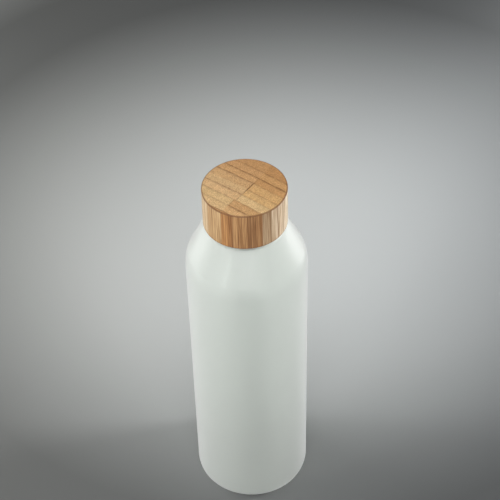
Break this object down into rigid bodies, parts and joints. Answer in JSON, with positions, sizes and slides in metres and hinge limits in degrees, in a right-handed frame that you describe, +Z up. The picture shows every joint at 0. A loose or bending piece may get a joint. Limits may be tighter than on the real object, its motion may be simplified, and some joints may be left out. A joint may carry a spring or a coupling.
{
  "type": "glass water bottle",
  "caption": "Slim frosted glass water bottle with a conical shoulder, a threaded neck and a short round bamboo lid that screws on over a silicone seal.",
  "frame": {"origin": "centre of the standing ring under the bottle, on the surface it stands on", "axes": "+Z up along the bottle's axis and the lid's screw axis; +X to the right and +Y away from a viewer in front; the thread is right-handed"},
  "size_m": [0.065, 0.065, 0.22],
  "materials": {
    "frosted_glass": "satin frosted, pale grey-green",
    "bamboo": "sanded and oiled laminated bamboo, end grain on top",
    "liner_plastic": "natural polypropylene, fine satin",
    "steel": "spun stainless steel",
    "silicone": "translucent white silicone, matt"
  },
  "bodies": {
    "bottle": {"glass_bottle": "frosted_glass"},
    "seal": {"sealing_ring": "silicone"},
    "lid": {"bamboo_cap": "bamboo", "threaded_liner": "liner_plastic", "steel_disc": "steel"}
  },
  "joints": [
    {"name": "lid_lift", "type": "slide", "parent": "bottle", "child": "seal", "axis": [0, 0, 1], "range_m": [0, 0.02]},
    {"name": "lid_turn", "type": "hinge", "parent": "seal", "child": "lid", "pos_m": [0, 0, 0.2], "axis": [0, 0, 1], "range_deg": [0, 1800]}
  ],
  "couplings": [
    {"joint": "lid_lift", "follows": "lid_turn", "m_per_rad": 0.00063662}
  ]
}
